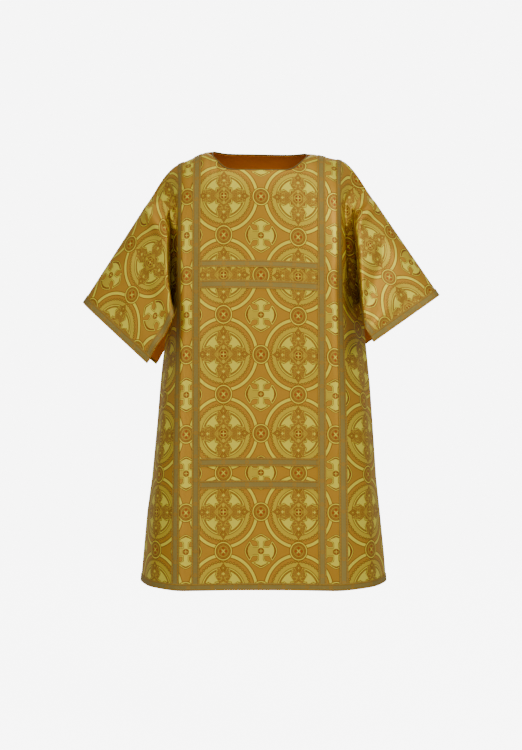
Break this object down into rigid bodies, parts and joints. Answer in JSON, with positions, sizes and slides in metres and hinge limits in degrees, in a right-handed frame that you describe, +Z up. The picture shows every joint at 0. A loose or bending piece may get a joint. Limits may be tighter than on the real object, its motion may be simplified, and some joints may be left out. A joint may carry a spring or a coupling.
{
  "type": "dalmatic",
  "caption": "Worn gold brocade dalmatic: hollow body panels, short wide sleeves open beneath, lined, with braid galloons, square neck and open hem.",
  "frame": {"origin": "on the shoulder line, midway between the neck points, where the wearer's shoulders hold the garment", "axes": "+Z up, the front faces -Y, +X to the right as the front is looked at, which is the wearer's left"},
  "size_m": [0.9085, 0.356, 1.1016],
  "materials": {
    "brocade": "ochre satin brocade with a woven gold figure",
    "galloon": "ribbed olive-gold braid with stitched edges",
    "piping": "olive-grey corded binding",
    "lining": "plain orange satin lining"
  },
  "bodies": {
    "root": {"body_back": "brocade", "body_front": "brocade", "crossbar_1_back": "galloon", "crossbar_1_front": "galloon", "crossbar_2_back": "galloon", "crossbar_2_front": "galloon", "crossbar_3_back": "galloon", "crossbar_3_front": "galloon", "crossbar_4_back": "galloon", "crossbar_4_front": "galloon", "galloon_cuff_left": "galloon", "galloon_cuff_right": "galloon", "galloon_hem_back": "galloon", "galloon_hem_front": "galloon", "galloon_inner_left_back": "galloon", "galloon_inner_left_front": "galloon", "galloon_inner_right_back": "galloon", "galloon_inner_right_front": "galloon", "galloon_outer_left_back": "galloon", "galloon_outer_left_front": "galloon", "galloon_outer_right_back": "galloon", "galloon_outer_right_front": "galloon", "galloon_under_left_back": "galloon", "galloon_under_left_front": "galloon", "galloon_under_right_back": "galloon", "galloon_under_right_front": "galloon", "lining_sleeve_left": "lining", "lining_sleeve_right": "lining", "neck_piping": "piping", "sleeve_left": "brocade", "sleeve_right": "brocade"}
  },
  "joints": []
}
